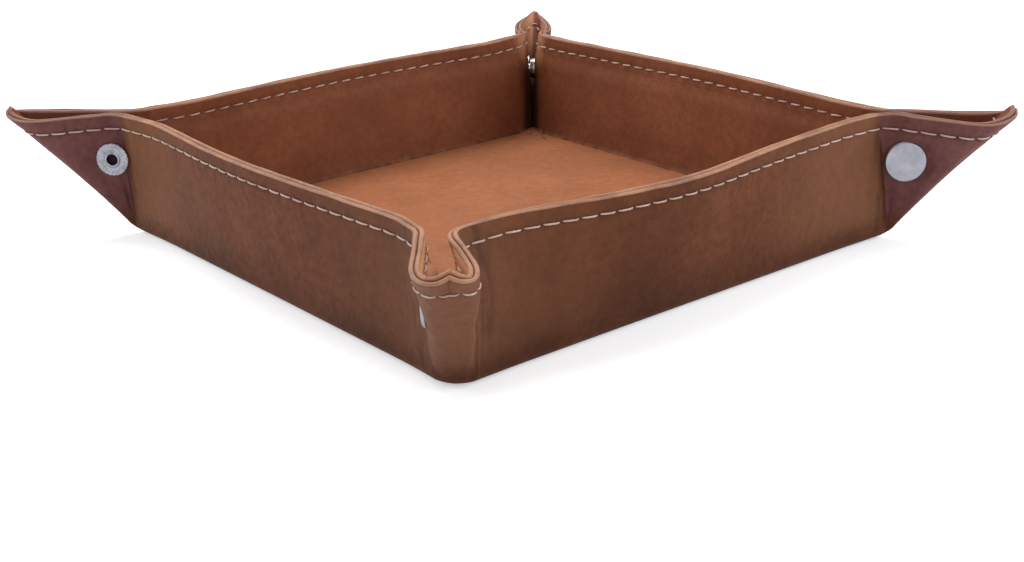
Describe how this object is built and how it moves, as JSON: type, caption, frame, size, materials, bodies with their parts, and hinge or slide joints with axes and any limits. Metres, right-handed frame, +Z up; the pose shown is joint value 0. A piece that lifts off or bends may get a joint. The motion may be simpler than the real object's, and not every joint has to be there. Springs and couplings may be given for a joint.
{
  "type": "valet tray",
  "caption": "Square leather catch-all tray with stiff, slightly bowed walls and pinched corner wings held by snap fasteners; unsnapped, its walls fold out nearly flat.",
  "frame": {"origin": "middle of the floor's underside, on the table", "axes": "+Z up; the walls face -Y (front), +X (right), +Y (back) and -X (left); a corner wing points along each diagonal"},
  "size_m": [0.2222, 0.2222, 0.0395],
  "materials": {
    "outer_skin": "smooth satin faux leather",
    "lining": "smooth satin faux leather",
    "board": "plain grey board",
    "snap_cap": "satin nickel",
    "snap_ring": "satin nickel",
    "snap_metal": "bright nickel",
    "spring_wire": "drawn wire"
  },
  "bodies": {
    "floor": {"floor_outer_skin": "outer_skin", "floor_board": "board", "floor_lining": "lining"},
    "front_wall": {"front_wall_outer_skin": "outer_skin", "front_wall_board": "board", "front_wall_lining": "lining"},
    "front_wall_left_wing": {"front_wall_left_wing_lining": "lining", "front_wall_left_wing_outer_skin": "outer_skin", "front_wall_snap_stud": "snap_metal", "front_wall_snap_post": "snap_ring"},
    "front_wall_right_wing": {"front_wall_right_wing_lining": "lining", "front_wall_right_wing_outer_skin": "outer_skin", "front_wall_snap_cap": "snap_cap", "front_wall_snap_socket": "snap_metal", "front_wall_snap_spring": "spring_wire"},
    "right_wall": {"right_wall_outer_skin": "outer_skin", "right_wall_board": "board", "right_wall_lining": "lining"},
    "right_wall_left_wing": {"right_wall_left_wing_lining": "lining", "right_wall_left_wing_outer_skin": "outer_skin", "right_wall_snap_stud": "snap_metal", "right_wall_snap_post": "snap_ring"},
    "right_wall_right_wing": {"right_wall_right_wing_lining": "lining", "right_wall_right_wing_outer_skin": "outer_skin", "right_wall_snap_cap": "snap_cap", "right_wall_snap_socket": "snap_metal", "right_wall_snap_spring": "spring_wire"},
    "back_wall": {"back_wall_outer_skin": "outer_skin", "back_wall_board": "board", "back_wall_lining": "lining"},
    "back_wall_left_wing": {"back_wall_left_wing_lining": "lining", "back_wall_left_wing_outer_skin": "outer_skin", "back_wall_snap_stud": "snap_metal", "back_wall_snap_post": "snap_ring"},
    "back_wall_right_wing": {"back_wall_right_wing_lining": "lining", "back_wall_right_wing_outer_skin": "outer_skin", "back_wall_snap_cap": "snap_cap", "back_wall_snap_socket": "snap_metal", "back_wall_snap_spring": "spring_wire"},
    "left_wall": {"left_wall_outer_skin": "outer_skin", "left_wall_board": "board", "left_wall_lining": "lining"},
    "left_wall_left_wing": {"left_wall_left_wing_lining": "lining", "left_wall_left_wing_outer_skin": "outer_skin", "left_wall_snap_stud": "snap_metal", "left_wall_snap_post": "snap_ring"},
    "left_wall_right_wing": {"left_wall_right_wing_lining": "lining", "left_wall_right_wing_outer_skin": "outer_skin", "left_wall_snap_cap": "snap_cap", "left_wall_snap_socket": "snap_metal", "left_wall_snap_spring": "spring_wire"}
  },
  "joints": [
    {"name": "front_wall_fold", "type": "hinge", "parent": "floor", "child": "front_wall", "pos_m": [0, -0.0825, 0], "axis": [1, 0, 0], "range_deg": [0, 80]},
    {"name": "front_wall_left_wing_fold", "type": "hinge", "parent": "front_wall", "child": "front_wall_left_wing", "pos_m": [-0.07668, -0.0788, 0], "axis": [0.0505, 0.0505, -0.9974], "range_deg": [0, 40]},
    {"name": "front_wall_right_wing_fold", "type": "hinge", "parent": "front_wall", "child": "front_wall_right_wing", "pos_m": [0.07668, -0.0788, 0], "axis": [0.0505, -0.0505, 0.9974], "range_deg": [0, 40]},
    {"name": "right_wall_fold", "type": "hinge", "parent": "floor", "child": "right_wall", "pos_m": [0.0825, 0, 0], "axis": [0, 1, 0], "range_deg": [0, 80]},
    {"name": "right_wall_left_wing_fold", "type": "hinge", "parent": "right_wall", "child": "right_wall_left_wing", "pos_m": [0.0788, -0.07668, 0], "axis": [-0.0505, 0.0505, -0.9974], "range_deg": [0, 40]},
    {"name": "right_wall_right_wing_fold", "type": "hinge", "parent": "right_wall", "child": "right_wall_right_wing", "pos_m": [0.0788, 0.07668, 0], "axis": [0.0505, 0.0505, 0.9974], "range_deg": [0, 40]},
    {"name": "back_wall_fold", "type": "hinge", "parent": "floor", "child": "back_wall", "pos_m": [0, 0.0825, 0], "axis": [-1, 0, 0], "range_deg": [0, 80]},
    {"name": "back_wall_left_wing_fold", "type": "hinge", "parent": "back_wall", "child": "back_wall_left_wing", "pos_m": [0.07668, 0.0788, 0], "axis": [-0.0505, -0.0505, -0.9974], "range_deg": [0, 40]},
    {"name": "back_wall_right_wing_fold", "type": "hinge", "parent": "back_wall", "child": "back_wall_right_wing", "pos_m": [-0.07668, 0.0788, 0], "axis": [-0.0505, 0.0505, 0.9974], "range_deg": [0, 40]},
    {"name": "left_wall_fold", "type": "hinge", "parent": "floor", "child": "left_wall", "pos_m": [-0.0825, 0, 0], "axis": [0, -1, 0], "range_deg": [0, 80]},
    {"name": "left_wall_left_wing_fold", "type": "hinge", "parent": "left_wall", "child": "left_wall_left_wing", "pos_m": [-0.0788, 0.07668, 0], "axis": [0.0505, -0.0505, -0.9974], "range_deg": [0, 40]},
    {"name": "left_wall_right_wing_fold", "type": "hinge", "parent": "left_wall", "child": "left_wall_right_wing", "pos_m": [-0.0788, -0.07668, 0], "axis": [-0.0505, -0.0505, 0.9974], "range_deg": [0, 40]}
  ],
  "couplings": [
    {"joint": "front_wall_left_wing_fold", "follows": "front_wall_fold", "ratio": 0.485},
    {"joint": "front_wall_right_wing_fold", "follows": "front_wall_fold", "ratio": 0.485},
    {"joint": "right_wall_fold", "follows": "front_wall_fold", "ratio": 1},
    {"joint": "right_wall_left_wing_fold", "follows": "front_wall_fold", "ratio": 0.485},
    {"joint": "right_wall_right_wing_fold", "follows": "front_wall_fold", "ratio": 0.485},
    {"joint": "back_wall_fold", "follows": "front_wall_fold", "ratio": 1},
    {"joint": "back_wall_left_wing_fold", "follows": "front_wall_fold", "ratio": 0.485},
    {"joint": "back_wall_right_wing_fold", "follows": "front_wall_fold", "ratio": 0.485},
    {"joint": "left_wall_fold", "follows": "front_wall_fold", "ratio": 1},
    {"joint": "left_wall_left_wing_fold", "follows": "front_wall_fold", "ratio": 0.485},
    {"joint": "left_wall_right_wing_fold", "follows": "front_wall_fold", "ratio": 0.485}
  ]
}
